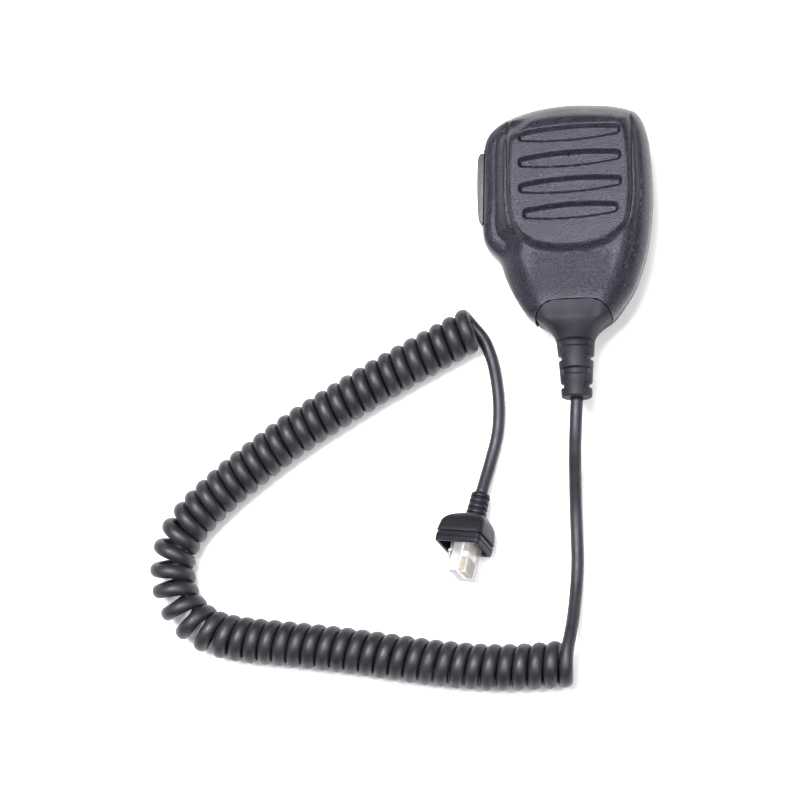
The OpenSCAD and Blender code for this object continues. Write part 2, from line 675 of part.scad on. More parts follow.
module plug_conductors() {
    on_plug() for (i = [0:contact_count - 1]) {
        z = (i - (contact_count - 1) / 2) * contact_pitch;
        color(i % 2 == 0 ? "orange" : "ivory") rod_y(jacket_end_y + 0.1, tip_y - 1.8, 0.45, z = z);
    }
}

front_case();
rear_case();
case_screws();
ptt_button();
ptt_pivot_pin();
ptt_switch_body();
ptt_switch_plunger();
ptt_switch_pins();
circuit_board();
board_screws();
amplifier_chip();
board_capacitors();
mic_capsule();
capsule_holder();
dust_screen();
capsule_wires();
wire_header();
wire_plug();
cord_conductors();
cord_inner_end();
cord_clamp();
clamp_screws();
hanger_button();
hanger_screw();
hanger_washer();
strain_relief();
cord_lead_mic();
cord_coil();
cord_lead_plug();
cord_plug_end();
plug_boot();
plug_body();
plug_latch();
plug_contacts();
plug_conductors();
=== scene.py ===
import math

import bpy
import numpy as np
from mathutils import Euler, Matrix, Vector


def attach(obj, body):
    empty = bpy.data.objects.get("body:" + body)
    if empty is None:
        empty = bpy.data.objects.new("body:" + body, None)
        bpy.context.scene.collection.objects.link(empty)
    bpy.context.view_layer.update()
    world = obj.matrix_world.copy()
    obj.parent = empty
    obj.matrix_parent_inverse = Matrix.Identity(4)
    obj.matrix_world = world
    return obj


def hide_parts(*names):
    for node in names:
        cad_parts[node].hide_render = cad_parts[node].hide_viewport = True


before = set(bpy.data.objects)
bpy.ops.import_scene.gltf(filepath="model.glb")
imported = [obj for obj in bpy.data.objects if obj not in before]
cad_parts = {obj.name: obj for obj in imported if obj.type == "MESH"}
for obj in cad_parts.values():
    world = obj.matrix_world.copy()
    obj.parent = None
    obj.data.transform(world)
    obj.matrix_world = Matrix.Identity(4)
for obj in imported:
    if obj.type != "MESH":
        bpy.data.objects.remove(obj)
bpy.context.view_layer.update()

# Hand microphone with a curly cord: the visible model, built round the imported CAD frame.
# Mesh builders work in millimetres, as the CAD does, and add_mesh turns them into metres.
MM = 0.001
ROOT = "mic_body"


# ================= small maths =================
def step01(t):
    u = np.clip(t, 0, 1)
    return u * u * (3 - 2 * u)


def ramp(t, soft=0.12):
    """0 below 0 and 1 above 1, straight between, with soft corners."""
    bend = lambda x: 0.5 * (x + np.sqrt(x * x + soft * soft))
    return np.clip(bend(t) - bend(t - 1), 0, 1)


def lerp(a, b, t):
    return a + (b - a) * t


def unit(v):
    return v / np.linalg.norm(v, axis=-1, keepdims=True)


def curve(points, steps, ends=None):
    """A smooth line through points; ends are the phantom points before and after it."""
    p = np.asarray(points, float)
    before, after = ends if ends is not None else (2 * p[0] - p[1], 2 * p[-1] - p[-2])
    q = np.vstack([before, p, after])
    t = np.linspace(0, 1, steps, endpoint=False)[:, None]
    parts = [
        0.5 * (2 * b + (c - a) * t + (2 * a - 5 * b + 4 * c - d) * t**2 + (3 * b - a - 3 * c + d) * t**3)
        for a, b, c, d in zip(q[:-3], q[1:-2], q[2:-1], q[3:])
    ]
    return np.vstack([*parts, p[-1:]])


def lengths(line):
    return np.concatenate([[0], np.cumsum(np.linalg.norm(np.diff(line, axis=0), axis=1))])


def spread(line, t):
    """Points at the shares t of a line's length."""
    s = lengths(line)
    return np.stack([np.interp(np.asarray(t) * s[-1], s, line[:, k]) for k in range(line.shape[1])], 1)


def distance(points, line):
    """Distance in the plane from each point to a line of straight pieces."""
    a, b = line[:-1], line[1:]
    ab = b - a
    best = np.full(len(points), np.inf)
    for i in range(0, len(points), 4000):
        p = points[i : i + 4000, None, :]
        t = np.clip(((p - a) * ab).sum(2) / np.maximum((ab * ab).sum(1), 1e-12), 0, 1)
        best[i : i + 4000] = np.linalg.norm(p - (a + t[..., None] * ab), axis=2).min(1)
    return best


def inside(points, loop):
    """True for each point inside a closed loop."""
    x, y = points[:, 0], points[:, 1]
    odd = np.zeros(len(points), bool)
    for (ax, ay), (bx, by) in zip(loop, np.roll(loop, -1, axis=0)):
        if ay != by:
            odd ^= ((ay > y) != (by > y)) & (x < (bx - ax) * (y - ay) / (by - ay) + ax)
    return odd


# ================= camera and stage =================
def look_through():
    """The camera, above the table and a little towards the cord's side."""
    away = Vector((0.19, -0.208, 1)).normalized()
    target = Vector((-0.0725, -0.0788, 0))
    right = Vector((0, 1, 0)).cross(away).normalized()
    up = away.cross(right)
    camera = bpy.data.cameras.new("camera")
    camera.sensor_width = 36
    camera.lens = 78.75
    camera.clip_start = 0.01
    seat = bpy.data.objects.new("camera", camera)
    turn = Matrix((right, up, away)).transposed().to_4x4()
    seat.matrix_world = Matrix.Translation(target + 0.7048 * away) @ turn
    bpy.context.scene.collection.objects.link(seat)
    bpy.context.scene.camera = seat


look_through()


# ================= materials =================
class Nodes:
    """A material's node tree, with short names for what the recipes below need."""

    def __init__(self, name):
        self.material = bpy.data.materials.new(name)
        self.material.use_nodes = True
        self.tree = self.material.node_tree
        self.shader = self.tree.nodes["Principled BSDF"]
        self.place = self.add("ShaderNodeTexCoord").outputs["Object"]

    def add(self, kind, **values):
        made = self.tree.nodes.new(kind)
        for key, value in values.items():
            setattr(made, key, value)
        return made

    def link(self, a, b):
        self.tree.links.new(a, b)

    def set(self, **values):
        for key, value in values.items():
            self.shader.inputs[key.replace("_", " ")].default_value = value

    def noise(self, scale, detail=2.0, rough=0.55, stretch=None):
        made = self.add("ShaderNodeTexNoise")
        made.inputs["Scale"].default_value = scale
        made.inputs["Detail"].default_value = detail
        made.inputs["Roughness"].default_value = rough
        place = self.place
        if stretch:
            mapping = self.add("ShaderNodeMapping")
            mapping.inputs["Scale"].default_value = stretch
            self.link(place, mapping.inputs["Vector"])
            place = mapping.outputs["Vector"]
        self.link(place, made.inputs["Vector"])
        return made.outputs["Fac"]

    def cells(self, scale):
        made = self.add("ShaderNodeTexVoronoi")
        made.inputs["Scale"].default_value = scale
        self.link(self.place, made.inputs["Vector"])
        return made.outputs["Distance"]

    def spread(self, value, low, high, start=0.35, end=0.65):
        made = self.add("ShaderNodeMapRange")
        for key, number in (("From Min", start), ("From Max", end), ("To Min", low), ("To Max", high)):
            made.inputs[key].default_value = number
        self.link(value, made.inputs["Value"])
        return made.outputs["Result"]

    def math(self, operation, a, b):
        made = self.add("ShaderNodeMath", operation=operation)
        for socket, value in zip(made.inputs, (a, b)):
            if isinstance(value, (int, float)):
                socket.default_value = value
            else:
                self.link(value, socket)
        return made.outputs["Value"]

    def colours(self, factor, low, high):
        made = self.add("ShaderNodeMix", data_type="RGBA")
        made.inputs[6].default_value = (*low, 1)
        made.inputs[7].default_value = (*high, 1)
        self.link(factor, made.inputs[0])
        return made.outputs[2]

    def bump(self, height, strength, reach, before=None):
        made = self.add("ShaderNodeBump")
        made.inputs["Distance"].default_value = reach
        if isinstance(strength, (int, float)):
            made.inputs["Strength"].default_value = strength
        else:
            self.link(strength, made.inputs["Strength"])
        self.link(height, made.inputs["Height"])
        if before is not None:
            self.link(before, made.inputs["Normal"])
        return made.outputs["Normal"]

    def finish(self, colour=None, rough=None, normal=None):
        for value, key in ((colour, "Base Color"), (rough, "Roughness"), (normal, "Normal")):
            if value is not None:
                self.link(value, self.shader.inputs[key])
        return self.material


def worn_edges(n):
    """0 on flat faces and up to 1 on sharp outer edges."""
    return n.spread(n.add("ShaderNodeNewGeometry").outputs["Pointiness"], 0, 1, 0.52, 0.6)


def case_plastic():
    """Dark moulded plastic with a fine sparkling grain, as strong as the mesh says."""
    n = Nodes("case_plastic")
    n.set(Specular_IOR_Level=0.29, Specular_Tint=(0.86, 0.85, 1, 1))
    grain = n.noise(1800, 2, 0.6)
    blotch = n.noise(55, 2)
    amount = n.add("ShaderNodeAttribute", attribute_name="grain").outputs["Fac"]
    fine = n.bump(grain, amount, 0.00026)
    shade = n.colours(n.spread(grain, 0, 1, 0.4, 0.62), (0.001, 0.001, 0.002), (0.018, 0.017, 0.0285))
    edge = n.add("ShaderNodeMix", data_type="RGBA")
    n.link(n.math("MULTIPLY", worn_edges(n), 0.35), edge.inputs[0])
    n.link(shade, edge.inputs[6])
    edge.inputs[7].default_value = (0.075, 0.072, 0.08, 1)
    return n.finish(edge.outputs[2], n.spread(blotch, 0.28, 0.35), fine)


def key_plastic():
    """The talk key: a lighter plastic with a satin face, and painted shade: its sides below the top face
    are painted near black.
    """
    n = Nodes("key_plastic")
    n.set(Specular_IOR_Level=0.25)
    grain = n.noise(1300, 2)
    face = n.colours(grain, (0.014, 0.0132, 0.0165), (0.05, 0.0475, 0.056))
    # painted shade: below 21.4 mm height the key's sides get a near-black colour that stands in for the
    # shade on its sides and in the gap beside the shell; only the top face keeps the plastic's own colour
    height = n.add("ShaderNodeSeparateXYZ")
    n.link(n.place, height.inputs[0])
    shade = n.add("ShaderNodeMix", data_type="RGBA")
    n.link(n.spread(height.outputs["Z"], 0, 1, 0.0214, 0.0219), shade.inputs[0])
    shade.inputs[6].default_value = (0.004, 0.004, 0.005, 1)
    n.link(face, shade.inputs[7])
    return n.finish(shade.outputs[2], n.spread(n.noise(70), 0.36, 0.46), n.bump(grain, 0.45, 0.00012))


def rubber(name, low, high, rough=(0.5, 0.62), grain_size=900):
    """Matte moulded rubber with a faint bloom."""
    n = Nodes(name)
    n.set(Specular_IOR_Level=0.27, Specular_Tint=(0.88, 0.87, 1, 1))
    grain = n.noise(grain_size, 3, 0.6)
    shade = n.colours(n.spread(n.noise(130, 3), 0, 1), low, high)
    return n.finish(shade, n.spread(n.noise(60), *rough), n.bump(grain, 0.5, 0.00015))


def jacket():
    """Satin polyurethane of the cord, with faint drawing lines and dust."""
    n = Nodes("cord_jacket")
    n.set(Specular_IOR_Level=0.45, Specular_Tint=(0.9, 0.89, 1, 1))
    shade = n.colours(n.spread(n.noise(160, 3), 0, 1), (0.006, 0.0057, 0.0078), (0.0125, 0.012, 0.015))
    return n.finish(shade, n.spread(n.noise(300, 3), 0.42, 0.54), n.bump(n.noise(1400, 2), 0.14, 0.00006))


def metal(name, colour, rough, stretch=None, scale=500):
    n = Nodes(name)
    n.set(Metallic=1.0)
    lines = n.noise(scale, 3, 0.6, stretch)
    dark = tuple(0.82 * c for c in colour)
    shade = n.colours(n.spread(n.noise(120), 0, 1), dark, colour)
    return n.finish(shade, n.spread(lines, rough * 0.75, rough * 1.3), n.bump(lines, 0.12, 0.00003))


def moulded(name, low, high, rough=0.45, scale=400):
    """Any small moulded or printed piece: mottled colour, uneven gloss, fine bump."""
    n = Nodes(name)
    shade = n.colours(n.spread(n.noise(scale, 3), 0, 1), low, high)
    gloss = n.spread(n.noise(scale * 0.4), rough * 0.85, rough * 1.2)
    return n.finish(shade, gloss, n.bump(n.noise(scale * 3), 0.2, 0.00005))


def clear_plastic():
    """Clear polycarbonate with flow marks and a few scuffs."""
    n = Nodes("clear_plastic")
    n.set(Transmission_Weight=0.86, IOR=1.5)
    shade = n.colours(n.spread(n.noise(150, 3), 0, 1), (0.86, 0.88, 0.9), (0.97, 0.975, 0.98))
    return n.finish(shade, n.spread(n.noise(500, 3), 0.04, 0.16), n.bump(n.noise(380, 3), 0.22, 0.0001))


def felt():
    n = Nodes("felt")
    fibres = n.noise(2500, 4, 0.7)
    shade = n.colours(fibres, (0.012, 0.012, 0.013), (0.045, 0.044, 0.046))
    return n.finish(shade, n.spread(fibres, 0.85, 1), n.bump(fibres, 0.9, 0.0002))


def board_green():
    """Solder mask with the faint relief of copper tracks."""
    n = Nodes("board_green")
    tracks = n.spread(n.cells(420), 0, 1, 0.35, 0.4)
    shade = n.colours(tracks, (0.006, 0.05, 0.022), (0.012, 0.095, 0.04))
    return n.finish(shade, n.spread(n.noise(300), 0.22, 0.34), n.bump(tracks, 0.35, 0.00004))


def white_floor():
    n = Nodes("floor")
    n.set(Specular_IOR_Level=0.2)
    shade = n.colours(n.noise(4, 2), (0.86, 0.86, 0.865), (0.885, 0.885, 0.89))
    return n.finish(shade, n.spread(n.noise(30), 0.75, 0.85))


CASE = case_plastic()
KEY = key_plastic()
RELIEF = rubber("relief_rubber", (0.007, 0.0066, 0.01), (0.015, 0.0142, 0.02), (0.54, 0.68))
BOOT = rubber("boot_rubber", (0.003, 0.003, 0.005), (0.008, 0.0078, 0.011), (0.46, 0.58), 700)
HOLDER = rubber("holder_rubber", (0.012, 0.012, 0.012), (0.03, 0.03, 0.03), (0.6, 0.75))
JACKET = jacket()
CLEAR = clear_plastic()
GOLD = metal("gold_plate", (0.9, 0.64, 0.25), 0.2)
STEEL = metal("zinc_steel", (0.6, 0.6, 0.61), 0.32)
NICKEL = metal("hanger_nickel", (0.66, 0.64, 0.61), 0.24, (1, 1, 9))
CAPSULE = metal("capsule_aluminium", (0.77, 0.77, 0.78), 0.35)
IVORY = moulded("ivory_nylon", (0.6, 0.55, 0.42), (0.74, 0.7, 0.58))
EPOXY = moulded("black_epoxy", (0.01, 0.01, 0.01), (0.03, 0.03, 0.03), 0.5, 900)
CERAMIC = moulded("tan_ceramic", (0.3, 0.17, 0.07), (0.42, 0.27, 0.13), 0.35)
RED_WIRE = moulded("red_insulation", (0.38, 0.03, 0.02), (0.55, 0.07, 0.04), 0.4)
WIRES = moulded("plug_insulation", (0.78, 0.56, 0.38), (0.88, 0.8, 0.7), 0.4, 250)


# ================= meshes =================
def add_mesh(name, points, faces, material, body=ROOT, smooth=True, scale=MM):
    """A mesh object from points in millimetres."""
    mesh = bpy.data.meshes.new(name)
    mesh.from_pydata((np.asarray(points) * scale).tolist(), [], [list(map(int, f)) for f in faces])
    mesh.validate()
    mesh.materials.append(material)
    mesh.polygons.foreach_set("use_smooth", [smooth] * len(mesh.polygons))
    made = bpy.data.objects.new(name, mesh)
    bpy.context.scene.collection.objects.link(made)
    if body:
        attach(made, body)
    return made


def tube_faces(rings, sides, closed=False, capped=True):
    """Faces of a tube whose points are rings of `sides` points; ring order and winding face out."""
    faces = []
    for i in range(rings if closed else rings - 1):
        a, b = i * sides, (i + 1) % rings * sides
        faces += [(a + j, a + (j + 1) % sides, b + (j + 1) % sides, b + j) for j in range(sides)]
    if capped and not closed:
        faces.append(tuple(range(sides))[::-1])
        faces.append(tuple(range((rings - 1) * sides, rings * sides)))
    return faces


def apply_modifiers(thing):
    """The object's modifiers, worked into its mesh."""
    shot = thing.evaluated_get(bpy.context.evaluated_depsgraph_get())
    mesh = bpy.data.meshes.new_from_object(shot)
    thing.modifiers.clear()
    old = thing.data
    thing.data = mesh
    mesh.name = old.name
    bpy.data.meshes.remove(old)


def cut(thing, cutter):
    """Cuts the cutter's solid out of thing, and deletes the cutter."""
    knife = thing.modifiers.new("cut", "BOOLEAN")
    knife.operation = "DIFFERENCE"
    knife.solver = "MANIFOLD"
    knife.object = cutter
    apply_modifiers(thing)
    bpy.data.objects.remove(cutter, do_unlink=True)


def joined(name, solids):
    """One cutter mesh from several (points, faces) solids."""
    points, faces, base = [], [], 0
    for p, f in solids:
        points += [tuple(q) for q in p]
        faces += [tuple(i + base for i in face) for face in f]
        base += len(p)
    return add_mesh(name, points, faces, CASE, body=None, smooth=False)


def prism(loop, z0, z1):
    """A solid from a loop in the XY plane, anticlockwise seen from +Z."""
    n = len(loop)
    points = [(x, y, z0) for x, y in loop] + [(x, y, z1) for x, y in loop]
    return points, tube_faces(2, n)


def disc(x, y, r, sides=40):
    a = np.linspace(0, 2 * math.pi, sides, endpoint=False)
    return np.stack([x + r * np.cos(a), y + r * np.sin(a)], 1)


def shade_smooth_by_angle(thing, degrees=35):
    """Smooth faces with sharp edges where the surface turns."""
    mesh = thing.data
    mesh.polygons.foreach_set("use_smooth", [True] * len(mesh.polygons))
    mesh.set_sharp_from_angle(angle=math.radians(degrees))


# ================= cord =================
CORD_D = 0.0049
COIL_D = 0.018
# the route's points, as in the CAD model, in metres
LEAD_MIC = [
    (0, -0.084, 0.016), (-0.0004, -0.09, 0.0159), (-0.0009, -0.097, 0.0149), (-0.0014, -0.104, 0.0126),
    (-0.0018, -0.111, 0.0095), (-0.0021, -0.118, 0.0064), (-0.0023, -0.125, 0.004),
    (-0.0023, -0.132, 0.0028), (-0.0022, -0.139, 0.0025), (-0.0022, -0.146, 0.0026),
    (-0.0025, -0.152, 0.0032), (-0.0029, -0.158, 0.0047), (-0.0034, -0.164, 0.0071),
    (-0.004, -0.17, 0.01), (-0.0048, -0.175, 0.0124), (-0.0057, -0.18, 0.0146), (-0.0066, -0.185, 0.0155),
]
COIL_AXIS = [
    (-0.006, -0.185, 0.009), (-0.021, -0.186, 0.009), (-0.034, -0.1862, 0.009), (-0.047, -0.1853, 0.009),
    (-0.06, -0.1838, 0.009), (-0.073, -0.1819, 0.009), (-0.087, -0.1798, 0.009), (-0.101, -0.178, 0.009),
    (-0.117, -0.1762, 0.009), (-0.132, -0.1746, 0.009), (-0.145, -0.1718, 0.009),
    (-0.1545, -0.1662, 0.009), (-0.1606, -0.158, 0.009), (-0.163, -0.149, 0.009), (-0.1628, -0.141, 0.009),
    (-0.1595, -0.132, 0.009), (-0.153, -0.1238, 0.009), (-0.142, -0.1138, 0.009), (-0.128, -0.103, 0.009),
    (-0.113, -0.0924, 0.009), (-0.0975, -0.083, 0.009), (-0.083, -0.0746, 0.009), (-0.068, -0.0665, 0.009),
    (-0.054, -0.0593, 0.009), (-0.041, -0.0526, 0.009),
]
LEAD_PLUG = [
    (-0.0398, -0.052, 0.0025), (-0.0375, -0.0564, 0.0025), (-0.0357, -0.061, 0.0025),
    (-0.0342, -0.066, 0.0025), (-0.0331, -0.072, 0.0025), (-0.0323, -0.079, 0.0025),
    (-0.0321, -0.086, 0.0025), (-0.0326, -0.093, 0.0025), (-0.0338, -0.099, 0.0025),
    (-0.0352, -0.104, 0.0027), (-0.0363, -0.1083, 0.0033), (-0.0373, -0.112, 0.0041),
    (-0.0382, -0.1155, 0.005), (-0.0391, -0.1191, 0.006),
]
STRAND_W = 0.0056        # the strand is pressed flat in the curl: its width along the coil
STRAND_H = 0.0045        # and its height across it
PITCH = 0.0059           # turns lie side by side on the straight arms
TURN_STEPS = 30
CORD_SIDES = 14


def helix():
    """The curly stretch: its points and outward directions, starting on top and ending underneath."""
    axis = curve(COIL_AXIS, 40)
    s = lengths(axis)
    line = np.linspace(0, s[-1], 1500)
    centre = np.stack([np.interp(line, s, axis[:, k]) for k in range(3)], 1)
    ahead = unit(np.gradient(centre, line, axis=0))
    bend = np.linalg.norm(np.gradient(ahead, line, axis=0), axis=1)
    window = np.hanning(90)
    bend = np.convolve(np.pad(bend, 45, mode="edge"), window / window.sum(), "same")[45:-45]
    # the inner side of a bend keeps the turns touching, so they fan out on the outer side
    pitch = np.maximum(PITCH, 0.0052 / (1 - COIL_D / 2 * bend))
    turns = np.concatenate([[0], np.cumsum(np.diff(line) * 0.5 * (1 / pitch[1:] + 1 / pitch[:-1]))])
    whole = round(turns[-1] - 0.5) + 0.5
    turns *= whole / turns[-1]
    count = int(whole * TURN_STEPS) + 1
    share = np.linspace(0, whole, count)
    at = np.interp(share, turns, line)
    middle = np.stack([np.interp(at, line, centre[:, k]) for k in range(3)], 1)
    forward = unit(np.stack([np.interp(at, line, ahead[:, k]) for k in range(3)], 1))
    side = np.cross(forward, (0, 0, 1))
    angle = 2 * math.pi * share + math.pi / 2
    out = np.cos(angle)[:, None] * side + np.sin(angle)[:, None] * np.array([0, 0, 1.0])
    return middle + (COIL_D - STRAND_H) / 2 * out, out, whole


def cord_path():
    """The whole cord's centreline, the directions across it, and 1 where it is curled."""
    coil, out, turns = helix()
    lead_a = curve(LEAD_MIC, 5)
    lead_b = curve(LEAD_PLUG, 5)
    lead_a, lead_b = (spread(l, np.linspace(0, 1, int(lengths(l)[-1] / 0.0015))) for l in (lead_a, lead_b))
    path = np.vstack([lead_a[:-1], coil, lead_b[1:]])
    curled = np.concatenate([np.zeros(len(lead_a) - 1), np.ones(len(coil)), np.zeros(len(lead_b) - 1)])
    before, after = np.repeat(out[:1], len(lead_a) - 1, 0), np.repeat(out[-1:], len(lead_b) - 1, 0)
    across = np.vstack([before, out, after])
    # ease the joints between the leads and the curl
    near = np.zeros(len(path))
    for joint in (len(lead_a) - 1, len(lead_a) + len(coil) - 2):
        near = np.maximum(near, step01(1 - np.abs(np.arange(len(path)) - joint) / 9))
    near[[0, -1]] = 0
    for _ in range(8):
        mean = 0.5 * (np.roll(path, 1, 0) + np.roll(path, -1, 0))
        path = path + 0.5 * near[:, None] * (mean - path)
    window = np.hanning(25)
    curled = np.convolve(np.pad(curled, 12, mode="edge"), window / window.sum(), "same")[12:-12]
    return path, across, curled, turns


def cord_tube():
    path, across, curled, turns = cord_path()
    ahead = unit(np.gradient(path, axis=0))
    # carry the direction across the cord along each lead, outwards from the curl
    first, last = np.flatnonzero(curled > 0.99)[[0, -1]]
    for order in (range(first - 1, -1, -1), range(last + 1, len(path))):
        previous = across[first] if order.step == -1 else across[last]
        for i in order:
            previous = previous - previous.dot(ahead[i]) * ahead[i]
            previous = previous / np.linalg.norm(previous)
            across[i] = previous
    across = unit(across - (across * ahead).sum(1)[:, None] * ahead)
    beside = np.cross(ahead, across)
    a = np.linspace(0, 2 * math.pi, CORD_SIDES, endpoint=False)
    high = 0.5 * lerp(CORD_D, STRAND_H, curled)[:, None, None]
    wide = 0.5 * lerp(CORD_D, STRAND_W, curled)[:, None, None]
    rings = path[:, None] + np.cos(a)[None, :, None] * high * across[:, None]
    rings = rings + np.sin(a)[None, :, None] * wide * beside[:, None]
    tube = add_mesh("curly_cord", rings.reshape(-1, 3), tube_faces(len(path), CORD_SIDES), JACKET, scale=1)
    length = float(lengths(path)[-1])
    print("cord length", round(length, 4), "turns", turns)
    return tube, path, length


cord, cord_line, cord_length = cord_tube()
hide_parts("cord_lead_mic", "cord_coil", "cord_lead_plug")


# ================= case =================
SPLIT_Z = 16.0
WALL = 2.0
HALF_RIGHT = [(0, 33.5), (9, 33), (18.5, 31.6), (26.3, 28.3), (29.9, 20), (31.2, 9), (31.5, -5),
              (30.5, -16), (29.3, -24), (28, -30), (25.7, -37), (23.2, -43), (17.9, -51), (15.4, -54),
              (10, -61), (0, -65.5)]
HALF_LEFT = [(0, 33.5), (-9, 33), (-18, 31.3), (-27, 27.7), (-33.3, 21), (-34.8, 11), (-34.8, -5),
             (-35.3, -16.5), (-33.8, -23), (-28.7, -29.4), (-26.3, -36.5), (-23.4, -43), (-18.6, -51),
             (-15.6, -54), (-10, -61), (0, -65.5)]
PANEL = [(0, 40), (14, 40), (23.4, 38), (23.3, 30), (23.7, 22), (23.9, 12), (23.9, 2), (23.7, -9),
         (21.6, -18.5), (15, -25.4), (7, -27.8), (0, -28.3)]
CORNER = 3               # the outline's corners at the top are its points number 3
CASE_END_Y = -57.0       # the patch runs on under the rubber collar
STEPS = 12


def side_line(points):
    p = np.asarray(points, float)
    flip = np.array([-1, 1])
    return curve(p, STEPS, (p[1] * flip, p[-2] * flip))


RIGHT, LEFT = side_line(HALF_RIGHT), side_line(HALF_LEFT)


def down_to(line, y):
    """The part of a side line above y, ending exactly on it."""
    below = np.argmax(line[:, 1] < y)
    a, b = line[below - 1], line[below]
    return np.vstack([line[:below], lerp(a, b, (a[1] - y) / (a[1] - b[1]))])


RIM_R, RIM_L = down_to(RIGHT, CASE_END_Y), down_to(LEFT, CASE_END_Y)
RIM = np.vstack([RIM_L[::-1], RIM_R[1:]])


def taper(y):
    return 1 - 0.24 * step01((-20 - y) / 36) - 0.2 * step01((y - 18) / 16)


def lean(y):
    return 1 - 0.8 * step01((-40 - y) / 22)


def bulge_gap(xy):
    """How far the talk-key bulge stands outside the plain outline beside each point."""
    order = slice(None, None, -1)
    right = np.interp(xy[:, 1], RIGHT[order, 1], RIGHT[order, 0])
    left = -np.interp(xy[:, 1], LEFT[order, 1], LEFT[order, 0])
    gap = np.maximum(left - right, 0) * step01((-13 - xy[:, 0]) / 8)
    return gap * step01((27 - xy[:, 1]) / 4) * step01((xy[:, 1] + 46) / 8)


def rolled(xy, reach, power, shelf):
    """0 at the outline to 1 on the flat, along a rolled edge; shelf is where the bulge ends."""
    inset = distance(xy, RIM) / lean(xy[:, 1])
    q = 0.5 - 0.5 * np.cos(np.linspace(0, math.pi, 90))
    d = reach * (1 - (1 - q**power) ** (1 / power))
    left_out = step01((q - shelf[0]) / shelf[1])
    table = d[None, :] + left_out[None, :] * bulge_gap(xy)[:, None]
    row = np.clip((table <= inset[:, None]).sum(1) - 1, 0, len(q) - 2)
    index = np.arange(len(xy))
    low, high = table[index, row], table[index, row + 1]
    return lerp(q[row], q[row + 1], np.clip((inset - low) / np.maximum(high - low, 1e-9), 0, 1)), inset


SLOT_X, FIRST_SLOT_Y, SLOT_PITCH, SLOT_H = 0.4, 17.8, 10.5, 6.9
SLOT_LENGTHS = (40, 40, 40, 37.2)
SLOT_DEPTH = 1.65
SLOT_TILT = 0.022
WALL_UP, WALL_DOWN, WALL_END = 1.9, 0.9, 1.2


def slot_depth(xy):
    depth = np.zeros(len(xy))
    for k, length in enumerate(SLOT_LENGTHS):
        x = xy[:, 0] - SLOT_X
        v = xy[:, 1] - (FIRST_SLOT_Y - k * SLOT_PITCH) - SLOT_TILT * x
        half = length / 2
        end_h = 0.58 * SLOT_H / 2
        edge = end_h + (SLOT_H / 2 - end_h) * (1 - np.clip(x / half, -1, 1) ** 2)
        round_r = 1.7
        past = np.clip((np.abs(x) - half + round_r) / round_r, 0, 1)
        edge = edge - round_r * (1 - np.sqrt(np.maximum(1 - past**2, 0)))
        within = np.minimum((edge - v) / WALL_UP, (edge + v) / WALL_DOWN)
        within = np.minimum(within, (half - np.abs(x)) / WALL_END)
        depth = np.maximum(depth, SLOT_DEPTH * ramp(within, 0.06))
    return depth


def panel_inset(xy):
    p = np.asarray(PANEL, float)
    flip = np.array([-1, 1])
    half = curve(p, 8, (p[1] * flip, p[-2] * flip))
    loop = np.vstack([half, half[::-1] * flip])
    d = distance(xy, np.vstack([loop, loop[:1]]))
    return np.where(inside(xy, loop), d, -d)


def front_height(xy):
    """Height of the front of the case over points of the plan, in millimetres."""
    x, y = xy.T
    share, inset = rolled(xy, 9.5, 1.6, (0.3, 0.42))
    into = panel_inset(xy)
    on_panel = step01(0.5 + into / lerp(1.1, 4.2, step01((-17 - y) / 8)))
    z = 21 + (11.9 - 1.35 * (1 - on_panel) * step01((-14 - y) / 10)) * share
    z = z + 0.5 * on_panel * step01((inset - 5) / 4)
    z = z - 0.65 * np.exp(-((into + 0.35) / 0.65) ** 2) * step01((y + 24) / 12)
    # soft valleys along both flanks
    left = np.exp(-((inset - 6) / 1.4) ** 2) * step01((22 - y) / 5) * step01((y + 27) / 5) * (x < 0)
    right = np.exp(-((inset - 4.5) / 1.1) ** 2) * step01((27 - y) / 5) * step01((y + 41) / 5) * (x > 0)
    z = z - 0.7 * left - 0.45 * right - slot_depth(xy)
    return SPLIT_Z + (z - SPLIT_Z) * taper(y)


def rear_height(xy):
    share, _ = rolled(xy, 9.0, 1.8, (0.25, 0.4))
    z = 15 - 9.5 * share
    r = np.hypot(xy[:, 0], xy[:, 1])
    z = z + 0.45 * ramp((r - 8.6) / 0.7, 0.3) * ramp((10.4 - r) / 0.7, 0.3)
    return SPLIT_Z + (z - SPLIT_Z) * taper(xy[:, 1])


def plan_grid(columns, rows, edge_x=0.6, edge_y=0.35):
    """A grid that fills the case's outline, denser near its edges: points row by row."""
    def ease(count, k):
        u = np.linspace(0, 1, count)
        return (1 - k) * u + k * (0.5 - 0.5 * np.cos(math.pi * u))
    s, t = ease(columns, edge_x), ease(rows, edge_y)
    corner_r, corner_l = CORNER * STEPS, CORNER * STEPS
    top = spread(np.vstack([RIM_L[corner_l::-1], RIM_R[1 : corner_r + 1]]), s)
    left = spread(RIM_L[corner_l:][::-1], t)
    right = spread(RIM_R[corner_r:][::-1], t)
    bottom = spread(np.vstack([RIM_L[-1], RIM_R[-1]]), s)
    s, t = s[None, :, None], t[:, None, None]
    grid = (1 - t) * bottom[None] + t * top[None] + (1 - s) * left[:, None] + s * right[:, None]
    corners = (1 - s) * (1 - t) * bottom[0] + s * (1 - t) * bottom[-1]
    corners = corners + (1 - s) * t * top[0] + s * t * top[-1]
    return grid - corners


